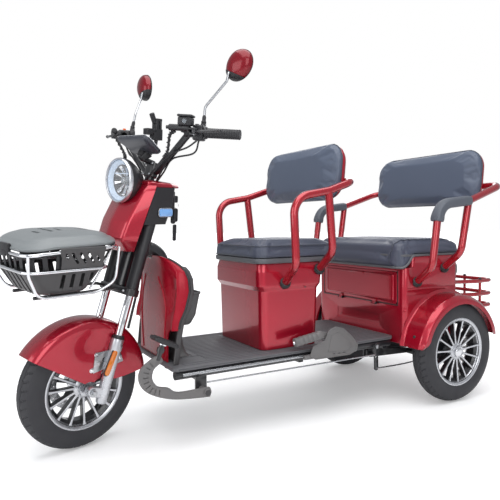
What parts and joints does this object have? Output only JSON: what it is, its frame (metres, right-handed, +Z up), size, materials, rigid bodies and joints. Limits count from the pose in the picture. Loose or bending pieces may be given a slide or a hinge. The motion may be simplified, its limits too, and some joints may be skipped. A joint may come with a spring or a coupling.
{
  "type": "electric tricycle",
  "caption": "Two-seat electric tricycle with a front basket, flat floor, armrests, rear storage body and tube rack.",
  "frame": {"origin": "middle of the bounding box on the ground", "axes": "-Y is straight ahead, +X is the vehicle's left, +Z is up; the steering rests turned to the left"},
  "size_m": [0.817, 2.037, 1.3477],
  "materials": {
    "red_plastic": "glossy metallic red moulding",
    "red_paint": "glossy metallic red paint",
    "black_paint": "black satin paint",
    "chrome": "polished",
    "cast_aluminium": "cast and machined",
    "tyre": "matt black",
    "rubber": "matt",
    "black_plastic": "fine grain",
    "grey_plastic": "fine grain",
    "lid_plastic": "fine grain",
    "seat_cover": "slate blue imitation leather",
    "clear_lens": "clear",
    "red_lens": "dark red lens",
    "battery_case": "moulded case",
    "orange_plastic": "glossy"
  },
  "bodies": {
    "chassis": {"main_frame": "black_paint", "floor_deck": "grey_plastic", "leg_shield": "red_plastic", "leg_shield_liner": "black_plastic", "front_seat_box": "red_plastic", "front_armrest_frame": "red_paint", "front_backrest_pad": "seat_cover", "rear_body": "red_plastic", "rear_armrest_frame": "red_paint", "rear_backrest_pad": "seat_cover", "rear_fender_left": "red_plastic", "rear_fender_right": "red_plastic", "rear_rack": "red_paint", "tail_light_left": "red_lens", "tail_light_right": "red_lens", "battery_pack": "battery_case", "motor_controller": "cast_aluminium", "parking_brake_cover": "grey_plastic"},
    "front_seat": {"front_seat_base": "black_plastic", "front_seat_cushion": "seat_cover"},
    "rear_seat": {"rear_seat_base": "black_plastic", "rear_seat_cushion": "seat_cover"},
    "rear_door": {"rear_box_door": "red_plastic"},
    "parking_lever": {"parking_brake_lever": "black_paint"},
    "parking_button": {"parking_brake_button": "chrome"},
    "foot_pedal": {"brake_pedal": "cast_aluminium"},
    "crank": {"bell_crank": "black_paint"},
    "pull_rod": {"brake_rod": "cast_aluminium"},
    "rear_suspension": {"swing_arm": "black_paint", "rear_axle": "black_paint"},
    "rear_wheel_left": {"rear_tyre_left": "tyre", "rear_rim_left": "cast_aluminium"},
    "rear_wheel_right": {"rear_tyre_right": "tyre", "rear_rim_right": "cast_aluminium"},
    "steering": {"fork_crown": "black_paint", "handlebar": "black_paint", "front_panel": "red_plastic", "panel_trim": "black_plastic", "headlight_bowl": "black_plastic", "headlight_lens": "clear_lens", "display": "black_plastic", "left_controls": "black_plastic", "right_controls": "black_plastic", "left_grip": "rubber", "basket_frame": "chrome", "basket_liner": "grey_plastic", "brake_hoses": "rubber"},
    "throttle": {"throttle_grip": "rubber"},
    "left_lever": {"left_brake_lever": "black_paint"},
    "right_lever": {"right_brake_lever": "black_paint"},
    "left_mirror": {"mirror_left": "red_plastic"},
    "right_mirror": {"mirror_right": "red_plastic"},
    "key": {"ignition_key": "black_plastic"},
    "button": {"start_button": "orange_plastic"},
    "lid": {"basket_lid": "lid_plastic"},
    "fork": {"fork_legs": "black_paint", "front_fender": "red_plastic"},
    "front_wheel": {"front_tyre": "tyre", "front_rim": "cast_aluminium", "brake_disc": "cast_aluminium"}
  },
  "joints": [
    {"name": "steering_turn", "type": "hinge", "parent": "chassis", "child": "steering", "pos_m": [0, -0.71243, 0.19505], "axis": [0, 0.2924, 0.9563], "range_deg": [-57.5, 22.5]},
    {"name": "fork_travel", "type": "slide", "parent": "steering", "child": "fork", "axis": [0, 0.2924, 0.9563], "range_m": [0, 0.05], "stiffness_N_per_m": 15000, "springref_m": -0.06},
    {"name": "front_wheel_spin", "type": "hinge", "parent": "fork", "child": "front_wheel", "pos_m": [0.01413, -0.75529, 0.20816], "axis": [0.9537, 0.2876, -0.0879], "continuous": true},
    {"name": "rear_suspension_travel", "type": "hinge", "parent": "chassis", "child": "rear_suspension", "pos_m": [0, 0.41263, 0.1913], "axis": [1, 0, 0], "range_deg": [0, 2.6], "stiffness_Nm_per_rad": 3000, "springref_deg": -14.32},
    {"name": "rear_wheel_left_spin", "type": "hinge", "parent": "rear_suspension", "child": "rear_wheel_left", "pos_m": [0.332, 0.68263, 0.2088], "axis": [1, 0, 0], "continuous": true},
    {"name": "rear_wheel_right_spin", "type": "hinge", "parent": "rear_suspension", "child": "rear_wheel_right", "pos_m": [-0.332, 0.68263, 0.2088], "axis": [1, 0, 0], "continuous": true},
    {"name": "left_brake_lever_pull", "type": "hinge", "parent": "steering", "child": "left_lever", "pos_m": [0.23725, -0.42757, 1.03746], "axis": [0.1038, 0.031, 0.9941], "range_deg": [0, 14], "stiffness_Nm_per_rad": 0.8, "springref_deg": -17.19},
    {"name": "right_brake_lever_pull", "type": "hinge", "parent": "steering", "child": "right_lever", "pos_m": [-0.20932, -0.56223, 1.07862], "axis": [-0.0647, -0.0192, -0.9977], "range_deg": [0, 14], "stiffness_Nm_per_rad": 0.8, "springref_deg": -17.19},
    {"name": "throttle_twist", "type": "hinge", "parent": "steering", "child": "throttle", "pos_m": [-0.22648, -0.51826, 1.07889], "axis": [-0.9638, 0.2602, 0.0575], "range_deg": [0, 60], "stiffness_Nm_per_rad": 0.3, "springref_deg": -17.19},
    {"name": "left_mirror_turn", "type": "hinge", "parent": "steering", "child": "left_mirror", "pos_m": [0.19345, -0.37371, 1.0655], "axis": [0.0879, 0.0129, 0.996], "range_deg": [-25, 25]},
    {"name": "right_mirror_turn", "type": "hinge", "parent": "steering", "child": "right_mirror", "pos_m": [-0.19828, -0.49183, 1.10161], "axis": [0.0879, 0.0129, 0.996], "range_deg": [-25, 25]},
    {"name": "ignition_key_turn", "type": "hinge", "parent": "steering", "child": "key", "pos_m": [0.00203, -0.42016, 0.83185], "axis": [-0.2876, 0.9577, 0.0129], "range_deg": [0, 45]},
    {"name": "start_button_press", "type": "slide", "parent": "steering", "child": "button", "axis": [-0.0647, -0.0192, -0.9977], "range_m": [0, 0.0025], "stiffness_N_per_m": 300, "springref_m": -0.003},
    {"name": "basket_lid_lift", "type": "hinge", "parent": "steering", "child": "lid", "pos_m": [0.03747, -0.68536, 0.69011], "axis": [-0.9537, -0.2876, 0.0879], "range_deg": [0, 75]},
    {"name": "front_seat_lift", "type": "hinge", "parent": "chassis", "child": "front_seat", "pos_m": [0, 0.14563, 0.5858], "axis": [-1, 0, 0], "range_deg": [0, 45]},
    {"name": "rear_seat_lift", "type": "hinge", "parent": "chassis", "child": "rear_seat", "pos_m": [0, 0.45513, 0.5468], "axis": [1, 0, 0], "range_deg": [0, 70]},
    {"name": "rear_door_drop", "type": "hinge", "parent": "chassis", "child": "rear_door", "pos_m": [0, 0.45513, 0.3988], "axis": [1, 0, 0], "range_deg": [0, 80]},
    {"name": "parking_lever_pull", "type": "hinge", "parent": "chassis", "child": "parking_lever", "pos_m": [0.2355, 0.17263, 0.2733], "axis": [-1, 0, 0], "range_deg": [0, 30]},
    {"name": "parking_button_press", "type": "slide", "parent": "parking_lever", "child": "parking_button", "axis": [0, 0.9913, 0.1319], "range_m": [0, 0.004], "stiffness_N_per_m": 300, "springref_m": -0.004},
    {"name": "brake_pedal_press", "type": "hinge", "parent": "chassis", "child": "foot_pedal", "pos_m": [0.2445, -0.40237, 0.1913], "axis": [1, 0, 0], "range_deg": [0, 20], "stiffness_Nm_per_rad": 12, "springref_deg": -20.05},
    {"name": "bell_crank_swing", "type": "hinge", "parent": "chassis", "child": "crank", "pos_m": [0.2245, 0.35763, 0.2443], "axis": [-1, 0, 0], "range_deg": [0, 12.5]},
    {"name": "brake_rod_pull", "type": "slide", "parent": "chassis", "child": "pull_rod", "axis": [0, -1, 0], "range_m": [0, 0.0074]}
  ],
  "couplings": [
    {"joint": "bell_crank_swing", "follows": "brake_pedal_press", "ratio": 0.6061},
    {"joint": "brake_rod_pull", "follows": "brake_pedal_press", "m_per_rad": 0.02}
  ]
}
